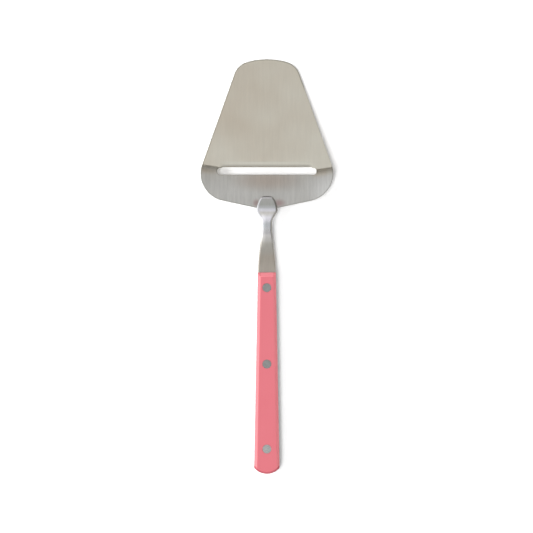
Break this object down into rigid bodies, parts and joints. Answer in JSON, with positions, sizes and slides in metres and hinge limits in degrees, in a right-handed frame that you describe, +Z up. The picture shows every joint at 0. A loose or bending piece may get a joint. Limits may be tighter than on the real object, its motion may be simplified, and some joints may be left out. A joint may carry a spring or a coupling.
{
  "type": "cheese slicer",
  "caption": "Plane-type cheese slicer: tapered steel blade with a slot and ground cutting edge, forged neck, slim riveted handle with smooth bevelled scales.",
  "frame": {"origin": "on the table under the middle of the whole length, with the handle's underside and the blade's tip on the table", "axes": "+Y along the slicer towards the blade's tip, +Z up out of the visible top side, +X to the right seen from the handle"},
  "size_m": [0.0782, 0.245, 0.0118],
  "materials": {
    "blade_steel": "fine brushed stainless steel sheet",
    "shank_steel": "satin polished forged stainless steel",
    "handle_plastic": "pink moulded plastic with a satin gloss",
    "rivet_metal": "ground flush with the handle"
  },
  "bodies": {
    "root": {"blade": "blade_steel", "shank": "shank_steel", "upper_scale": "handle_plastic", "lower_scale": "handle_plastic", "front_rivet_pin": "rivet_metal", "front_rivet_sleeve": "rivet_metal", "middle_rivet_pin": "rivet_metal", "middle_rivet_sleeve": "rivet_metal", "rear_rivet_pin": "rivet_metal", "rear_rivet_sleeve": "rivet_metal"}
  },
  "joints": []
}
